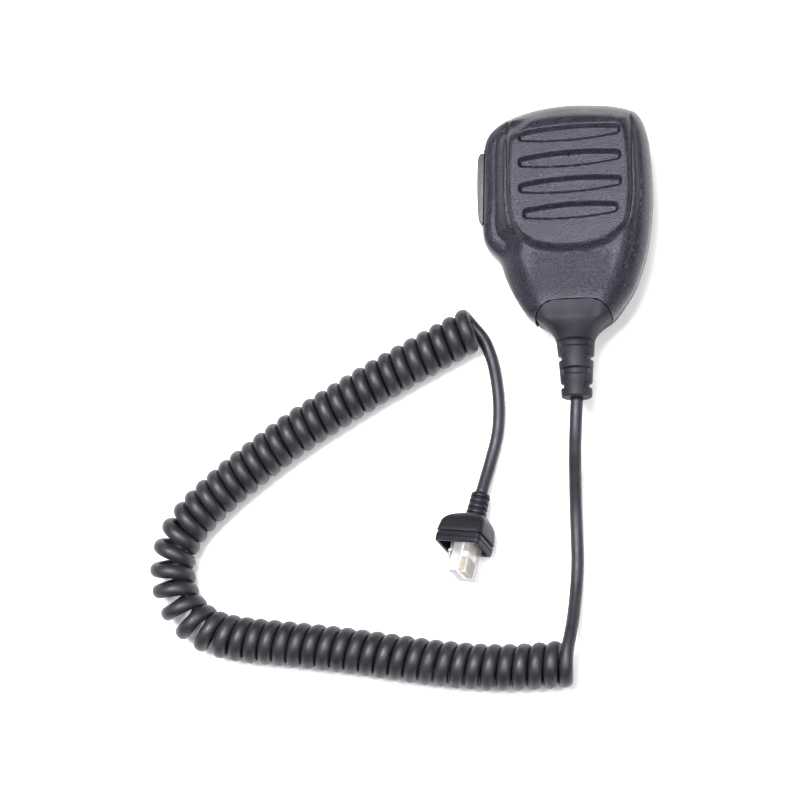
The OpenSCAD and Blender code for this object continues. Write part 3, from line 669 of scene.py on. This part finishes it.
def shell(name, columns, rows, height, skirt, up):
    """A case half: the height field over the plan, a skirt down to the joint, and a wall."""
    grid = plan_grid(columns, rows)
    plan = grid.reshape(-1, 2)
    z = height(plan)
    points = np.column_stack([plan, z])
    number = np.arange(len(plan)).reshape(rows, columns)
    faces = [
        (number[i, j], number[i, j + 1], number[i + 1, j + 1], number[i + 1, j])
        for i in range(rows - 1) for j in range(columns - 1)
    ]
    rim = np.concatenate([number[0, :-1], number[:-1, -1], number[-1, :0:-1], number[:0:-1, 0]])
    edge = plan[rim]
    t = unit(np.roll(edge, -1, 0) - np.roll(edge, 1, 0))
    inward = np.column_stack([-t[:, 1], t[:, 0]])
    free = (edge[:, 1] > CASE_END_Y + 0.01)[:, None]
    previous = rim
    for level, inset in skirt:
        ring = edge + inset * inward * free
        level_z = SPLIT_Z + (level - SPLIT_Z) * taper(ring[:, 1])
        base = len(points)
        points = np.vstack([points, np.column_stack([ring, level_z])])
        fresh = np.arange(base, base + len(ring))
        faces += [
            (fresh[k], fresh[(k + 1) % len(ring)], previous[(k + 1) % len(ring)], previous[k])
            for k in range(len(ring))
        ]
        previous = fresh
    if not up:
        faces = [f[::-1] for f in faces]
    made = add_mesh(name, points, faces, CASE)
    made.data.attributes.new("grain", "FLOAT", "POINT")
    made.data.attributes["grain"].data.foreach_set("value", grain_amount(points, up))
    wall = made.modifiers.new("wall", "SOLIDIFY")
    wall.thickness = WALL * MM
    wall.offset = -1
    apply_modifiers(made)
    return made


def grain_amount(points, up):
    """Even grain everywhere, and a denser one on a plain field low on the front."""
    if not up:
        return np.ones(len(points))
    x, y = points[:, 0], points[:, 1]
    field = step01((17 - np.abs(x)) / 4) * step01((-27 - y) / 4) * step01((y + 48) / 5)
    return 1 + 0.5 * field


SEAM = [(-18, -66), (-15.6, -58), (-14.9, -54.5), (-13.6, -51.5), (-11, -48.9), (-7.8, -47.7), (0, -47.4),
        (7.8, -47.7), (11, -48.9), (13.6, -51.5), (14.9, -54.5), (15.6, -58), (18, -66)]
SEAM_GAP = 0.17
KEY_MID_Y, KEY_L, KEY_W, KEY_OUT = 0.8, 29.4, 11.8, 2.5
BULGE_X = -34.8
PIVOT = (-30.5, 14.5)    # the talk key's pin
EAR_R, PIN_HOLE_R, EAR_T = 1.7, 0.85, 2
TAB_X = BULGE_X + 2.3    # where the key's end tab and its nub begin
NUB_X = -29.7            # where the nub meets the switch
KEY_ROOM = 0.35          # room before and behind the key in its window
CASE_SCREWS = [(19, 21.5), (-19, 21.5), (15, -37), (-15, -37)]


def seam_loop(grow):
    line = curve(SEAM, 6)
    t = unit(np.gradient(line, axis=0))
    grown = line + grow * np.column_stack([-t[:, 1], t[:, 0]])
    return grown[::-1]


def key_recess():
    """A shallow step in the front shell beside the talk key."""
    y0, y1 = KEY_MID_Y - KEY_L / 2 - 1.1, KEY_MID_Y + KEY_L / 2 + 0.5
    loop = [(BULGE_X - 5, y0), (BULGE_X + 0.9, y0), (BULGE_X + 1.6, y1), (BULGE_X - 5, y1)]
    return prism(loop, SPLIT_Z - 0.05, SPLIT_Z + 15)


def key_window():
    """The opening for the talk key, half of it in each shell."""
    x0, x1 = BULGE_X - 3, BULGE_X + 5.3
    y0, y1 = KEY_MID_Y - KEY_L / 2 - 0.75, KEY_MID_Y + KEY_L / 2 + 0.3
    half = KEY_W / 2 + KEY_ROOM
    return prism([(x0, y0), (x1, y0), (x1, y1), (x0, y1)], SPLIT_Z - half, SPLIT_Z + half)


def front_case():
    columns, rows = ((210, 330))
    skirt = [(19.5, 0), (18, 0), (SPLIT_Z + 0.75, 0), (SPLIT_Z + 0.35, 0.06), (SPLIT_Z + 0.1, 0.32)]
    made = shell("front_shell", columns, rows, front_height, skirt, True)
    cut(made, joined("front_cutter", [
        prism(seam_loop(SEAM_GAP), -5, 45), key_window(), prism(disc(0, 8.9, 0.65, 24), 25, 40),
    ]))
    cut(made, joined("front_recess", [key_recess()]))
    shade_smooth_by_angle(made, 50)
    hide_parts("front_case")


def rear_case():
    columns, rows = ((150, 220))
    skirt = [(15.6, 0.02), (SPLIT_Z - 0.1, 0.25)]
    made = shell("rear_shell", columns, rows, rear_height, skirt, False)
    holes = [prism(disc(x, y, 2.7), 0, 9) for x, y in CASE_SCREWS]
    cut(made, joined("rear_cutter", [prism(seam_loop(SEAM_GAP), -5, 45), key_window(), *holes]))
    shade_smooth_by_angle(made, 50)
    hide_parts("rear_case")


front_case()
rear_case()


# ================= rings round the cord's axis =================
def ray_ring(loop, centre, angles):
    """Distance from centre to a closed loop along each angle, in the loop's plane."""
    q = loop - centre
    a, b = q, np.roll(q, -1, axis=0)
    best = np.full(len(angles), 0.0)
    for k, angle in enumerate(angles):
        d = np.array([math.cos(angle), math.sin(angle)])
        e = b - a
        det = d[0] * -e[:, 1] + d[1] * e[:, 0]
        det = np.where(np.abs(det) < 1e-12, 1e-12, det)
        t = (a[:, 0] * -e[:, 1] + a[:, 1] * e[:, 0]) / det
        u = (d[0] * a[:, 1] - d[1] * a[:, 0]) / det
        hit = (t > 0) & (u >= -1e-9) & (u <= 1 + 1e-9)
        best[k] = t[hit].max() if hit.any() else 0
    return best


def rounded_rectangle(half_x, half_z, r, angles):
    """Distance from the middle of a rounded rectangle to its edge along each angle."""
    c, s = np.abs(np.cos(angles)), np.abs(np.sin(angles))
    flat = np.minimum(half_x / np.maximum(c, 1e-9), half_z / np.maximum(s, 1e-9))
    cx, cz = half_x - r, half_z - r
    along = c * cx + s * cz
    reach = along**2 - (cx**2 + cz**2 - r * r)
    corner = along + np.sqrt(np.maximum(reach, 0))
    on_corner = (corner * c > cx) & (corner * s > cz)
    return np.where(on_corner, corner, flat)


def collar_section(y, angles, centre):
    """The case's own section within the collar's seam, as distances along rays."""
    half = float(np.interp(-y, [-p[1] for p in SEAM[6:]], [p[0] for p in SEAM[6:]]))
    x = np.linspace(-half, half, 60)
    plan = np.column_stack([x, np.full(60, y)])
    top, bottom = front_height(plan), rear_height(plan)
    loop = np.vstack([np.column_stack([x, bottom]), np.column_stack([x, top])[::-1]])
    return ray_ring(loop, centre, angles)


SLEEVE = [(-64, 7.3), (-68, 6.95), (-74, 6.45), (-80, 6.1), (-84, 5.95)]
FRONT_GROOVES, SIDE_GROOVES = (-63.0, -74.0), (-68.6, -79.4)
FRONT_HALF, SIDE_HALF = 1.25, 0.95       # half of each groove's width


def groove_depth(y, angles):
    """How deep the bend-relief grooves are cut into the sleeve at each angle of a ring."""
    depth = np.zeros(len(angles))
    from_front = np.degrees(np.arccos(np.abs(np.sin(angles))))
    for middles, half, reach, off in (
        (FRONT_GROOVES, FRONT_HALF, 66, from_front), (SIDE_GROOVES, SIDE_HALF, 60, 90 - from_front),
    ):
        for middle in middles:
            across = ramp((half - abs(y - middle)) / 0.3 + 0.5, 0.35)
            depth = np.maximum(depth, 1.15 * across * step01((reach - off) / 9))
    return depth


def strain_relief():
    """Rubber collar, flare and notched sleeve, with the neck and flange inside the case."""
    sides = 160
    angles = np.linspace(0, 2 * math.pi, sides, endpoint=False)
    cosine, sine = np.cos(angles), np.sin(angles)
    rings = []

    def ring(y, reach, middle=SPLIT_Z):
        rings.append(np.column_stack([reach * cosine, np.full(sides, y), middle + reach * sine]))

    high = 18.2
    bore, flange, neck = 2.5, 6.5, 4.6
    ring(-43.0, np.full(sides, bore))
    ring(-43.0, np.full(sides, flange))
    ring(-45.2, np.full(sides, flange))
    ring(-45.2, np.full(sides, neck))
    ring(-47.2, np.full(sides, neck))
    end = collar_section(-54.0, angles, (0, high))
    end_x, end_z = end * cosine, high + end * sine
    sleeve_r = SLEEVE[0][1]
    for y in (-47.72, -47.85, *np.arange(-48.2, -54.1, -0.5)):
        section = collar_section(y, angles, (0, high))
        x, z = section * cosine, high + section * sine
        fall = 0.9 * step01((-49 - y) / 9)
        z = np.where(z > high, z - fall * (z - high) / 9, z)
        rings.append(np.column_stack([x, np.full(sides, y), z]))
    end_z = rings[-1][:, 2]
    edge = [0.9 + s * 0.125 + w for s in (-1, 1) for w in (-0.03, -0.015, 0, 0.015)]
    for t in sorted({round(float(v), 4) for v in (*np.linspace(0, 1, 26)[1:], *edge) if v <= 1}):
        y = -54 - 10 * t
        shape = 1 - (1 - t) ** 2.3            # plan and section: a quick concave sweep
        height = 0.12 * t + 0.88 * step01(t)  # top and bottom: a slow curve
        x = lerp(end_x, sleeve_r * cosine, shape)
        z = lerp(end_z, SPLIT_Z + sleeve_r * sine, height)
        rings.append(np.column_stack([x, np.full(sides, y), z]))
    sleeve = curve(SLEEVE, 10)
    stops = set(np.round(np.arange(-64.3, -83.0, -0.5), 3))
    for y in FRONT_GROOVES[1:] + SIDE_GROOVES:
        half = FRONT_HALF if y in FRONT_GROOVES else SIDE_HALF
        stops |= {round(y + s * (half + w), 3) for s in (-1, 1) for w in (-0.3, -0.15, 0, 0.15, 0.3)}
    for y in sorted(stops, reverse=True):
        ring(y, np.full(sides, np.interp(-y, -sleeve[:, 0], sleeve[:, 1])))
    for a in np.linspace(0, math.pi / 2, 6):
        ring(-83.1 - 0.9 * math.sin(a), np.full(sides, 5.97 - 0.9 + 0.9 * math.cos(a)))
    for one in rings[5:]:
        y = one[0, 1]
        if y < -60:
            off = np.column_stack([one[:, 0], one[:, 2] - SPLIT_Z])
            size = np.linalg.norm(off, axis=1, keepdims=True)
            off *= (size - groove_depth(y, angles)[:, None]) / size
            one[:, 0], one[:, 2] = off[:, 0], SPLIT_Z + off[:, 1]
    ring(-84.0, np.full(sides, 3.0))
    ring(-83.85, np.full(sides, 2.62))
    ring(-80, np.full(sides, bore))
    faces = tube_faces(len(rings), sides, closed=True)
    made = add_mesh("collar_and_sleeve", np.vstack(rings), faces, RELIEF)
    shade_smooth_by_angle(made, 40)
    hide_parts("strain_relief")


strain_relief()


# ================= talk key =================
def talk_key():
    """The bowed bar that the thumb presses."""
    count = 60
    t = np.linspace(-1, 1, count)
    x = BULGE_X - KEY_OUT + 0.5 * t * t + 1.2 * np.abs(t) ** 16
    y = KEY_MID_Y + t * KEY_L / 2
    loop = np.vstack([np.column_stack([x, y]), [(BULGE_X + 0.6, y[-1]), (BULGE_X - 0.15, y[0])]])[::-1]
    key = joined("talk_key", [prism(loop, SPLIT_Z - KEY_W / 2, SPLIT_Z + KEY_W / 2)])
    key.data.materials[0] = KEY
    soften = key.modifiers.new("soften", "BEVEL")
    soften.width = 0.8 * MM
    soften.segments = 5
    soften.limit_method = "ANGLE"
    soften.angle_limit = math.radians(40)
    apply_modifiers(key)
    shade_smooth_by_angle(key, 30)
    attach(key, "talk_key")
    return key


KEY_BAR = talk_key()


def talk_key_inside():
    """What holds the key: its end tab, its ears on the pivot pin and the nub that pushes the switch."""
    y0, y1 = KEY_MID_Y - KEY_L / 2 - 2.2, KEY_MID_Y - KEY_L / 2 + 2
    tab_end = BULGE_X + 3.5
    tab = prism([(TAB_X, y0), (tab_end, y0), (tab_end, y1), (TAB_X, y1)], SPLIT_Z, SPLIT_Z + 4)
    y0, y1, x0 = KEY_MID_Y - KEY_L / 2 + 0.8, KEY_MID_Y + KEY_L / 2 - 0.8, BULGE_X - 0.6
    stem = prism([(x0, y0), (BULGE_X + 2.5, y0), (BULGE_X + 2.5, y1), (x0, y1)],
                 SPLIT_Z - KEY_W / 2 + 1.3, SPLIT_Z + KEY_W / 2 - 1.3)
    nub = prism([(TAB_X, -7.5), (NUB_X, -7.5), (NUB_X, -4.5), (TAB_X, -4.5)], 13, 17)
    parts = [tab, stem, nub]
    for z in (SPLIT_Z - 5, SPLIT_Z + 3):
        ear = disc(*PIVOT, EAR_R, 32)
        hole = disc(*PIVOT, PIN_HOLE_R, 32)
        n = len(ear)
        top = z + EAR_T
        points = [(*p, h) for h in (z, top) for p in ear] + [(*p, h) for h in (top, z) for p in hole]
        parts.append((points, tube_faces(4, n, closed=True)))
        x0, x1, y0, y1 = BULGE_X + 2.45, PIVOT[0] - 1.5, PIVOT[1] - 1.2, PIVOT[1] + 1
        parts.append(prism([(x0, y0), (x1, y0), (x1, y1), (x0, y1)], z, top))
    made = joined("talk_key_inside", parts)
    made.data.materials[0] = KEY
    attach(made, "talk_key")
    return made


KEY_BACK = talk_key_inside()
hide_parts("ptt_button")
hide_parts("ptt_button")


# ================= plug =================
PLUG_AT = Vector((-39.1, -119.1, 6))
PLUG_TURN = Euler([math.radians(a) for a in (164, -16, -7)], "XYZ")
PLUG = np.array(Matrix.Translation(PLUG_AT) @ PLUG_TURN.to_matrix().to_4x4())
NECK_L, BOOT_L = 9.6, 13.5
BOOT_END = NECK_L + BOOT_L
BOOT_X, BOOT_Z, BOOT_MID = 9.6, 7.8, -2.1   # wider on the side of the latch


def on_plug(points):
    p = np.asarray(points, float)
    return p @ PLUG[:3, :3].T + PLUG[:3, 3]


def plug_boot():
    """The rubber boot: ribbed neck, domed block with a moulded line, flange and open end."""
    sides = 144
    angles = np.linspace(0, 2 * math.pi, sides, endpoint=False) + math.pi / sides
    rings = []

    def ring(y, reach, middle=0):
        reach = np.broadcast_to(reach, angles.shape)
        x, z = middle + reach * np.cos(angles), reach * np.sin(angles)
        rings.append(np.column_stack([x, np.full(sides, y), z]))

    def block(y, x, z, r, middle=BOOT_MID):
        ring(y, rounded_rectangle(x, z, r, angles), middle)

    ring(4, 2.47)
    ring(0.15, 2.47)
    ring(0, 2.7)
    for i in range(4):
        y = 0.05 + i * 2.35
        wide = 3.75 + 0.08 * i
        for dy, r in ((0, -0.5), (0.12, -0.15), (0.35, 0), (1.55, 0.05), (1.78, -0.1), (1.9, -0.5)):
            ring(y + dy, wide + r)
        ring(2.0 + i * 2.35, wide - 0.62)
        ring(2.3 + i * 2.35, wide - 0.62)
    ring(NECK_L + 0.1, 4.1)
    for t in np.linspace(0, 1, 14):
        # shoulders swell from the neck to the block
        a = t * math.pi / 2
        swell = math.sin(a) ** 0.9
        y = NECK_L + 0.2 + 5.4 * (1 - math.cos(a)) ** 0.8
        square = rounded_rectangle(BOOT_X - 0.3, BOOT_Z - 0.3, 2.1, angles)
        ring(y, lerp(4.3, square, swell), swell * BOOT_MID)
    block(NECK_L + 7.5, BOOT_X - 0.1, BOOT_Z - 0.1, 1.9)
    for back, less, r in ((4.4, 0, 1.7), (4.25, 0.1, 1.7), (4.1, 1, 1.2), (3.5, 1, 1.2), (3.35, 0.15, 1.6),
                          (1.95, 0.1, 1.6), (1.85, 0.4, 1.5), (1.55, 0.4, 1.5), (1.45, 0.15, 1.5),
                          (0.15, 0.25, 1.5), (0, 0.45, 1.4)):
        block(BOOT_END - back, BOOT_X - less, BOOT_Z - less, r)
    # the open end: room for the latch, then room for the plug, then the cord's bore
    block(BOOT_END, 8.2, 6.5, 0.8)
    block(BOOT_END - 0.2, 8, 6.2, 0.7)
    block(BOOT_END - 5, 8, 6.2, 0.7)
    block(BOOT_END - 5, 6.72, 5.89, 0.3, -3.37)
    block(12.8, 6.72, 5.89, 0.3, -3.37)
    ring(12.8, 2.47)
    ring(NECK_L, 2.47)
    points = on_plug(np.vstack(rings))
    made = add_mesh("boot", points, tube_faces(len(rings), sides, closed=True), BOOT)
    shade_smooth_by_angle(made, 38)
    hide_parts("plug_boot")
    return made


BOOT_PIECE = plug_boot()


# ================= CAD pieces that stay =================
def dress(node, material, bevel=0.0, segments=2):
    """A CAD node keeps its shape and gets its material, with its edges broken where it says."""
    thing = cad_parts[node]
    thing.data.materials.clear()
    thing.data.materials.append(material)
    if bevel:
        soften = thing.modifiers.new("soften", "BEVEL")
        soften.width = bevel * MM
        soften.segments = segments
        soften.limit_method = "ANGLE"
        soften.angle_limit = math.radians(35)
        soften.use_clamp_overlap = True
    return thing


for node, material in {
    "case_screws": STEEL, "ptt_pivot_pin": STEEL, "ptt_switch_pins": STEEL, "board_screws": STEEL,
    "clamp_screws": STEEL, "hanger_screw": STEEL, "hanger_washer": STEEL, "cord_clamp": STEEL,
    "hanger_button": NICKEL, "ptt_switch_body": EPOXY, "ptt_switch_plunger": IVORY,
    "circuit_board": board_green(), "amplifier_chip": EPOXY, "board_capacitors": CERAMIC,
    "mic_capsule": CAPSULE, "capsule_holder": HOLDER, "dust_screen": felt(), "capsule_wires": RED_WIRE,
    "wire_header": IVORY, "wire_plug": IVORY, "cord_conductors": RED_WIRE, "cord_inner_end": JACKET,
    "cord_plug_end": JACKET, "plug_contacts": GOLD, "plug_conductors": WIRES,
}.items():
    dress(node, material)
dress("plug_body", CLEAR, 0.12)
dress("plug_latch", CLEAR, 0.1)


# ================= floor and lights =================
def stage():
    size = 3.0
    floor = add_mesh("floor", [(-size, -size, -0.00002), (size, -size, -0.00002), (size, size, -0.00002),
                               (-size, size, -0.00002)], [(0, 1, 2, 3)], white_floor(), body=None, scale=1)


def soft_light(name, place, aim, size, power, colour=(1, 1, 1)):
    light = bpy.data.lights.new(name, "AREA")
    light.shape = "RECTANGLE"
    light.size, light.size_y = size
    light.energy = power
    light.color = colour
    seat = bpy.data.objects.new(name, light)
    seat.location = place
    seat.rotation_euler = (Vector(aim) - Vector(place)).to_track_quat("-Z", "Y").to_euler()
    bpy.context.scene.collection.objects.link(seat)


def lights():
    world = bpy.data.worlds.new("studio")
    world.use_nodes = True
    background = world.node_tree.nodes["Background"]
    background.inputs["Color"].default_value = (1, 1, 1, 1)
    background.inputs["Strength"].default_value = 0.22
    bpy.context.scene.world = world
    bpy.context.scene.view_settings.view_transform = "Standard"
    soft_light("key", (-0.2, 0.07, 1.0), (-0.06, -0.08, 0), (0.6, 0.42), 26.0)
    soft_light("side", (-0.75, -0.2, 0.5), (-0.05, -0.08, 0), (0.6, 0.4), 1.2)
    soft_light("fill", (0.42, -0.22, 0.9), (0, -0.06, 0), (0.5, 0.5), 7.0)


stage()
lights()
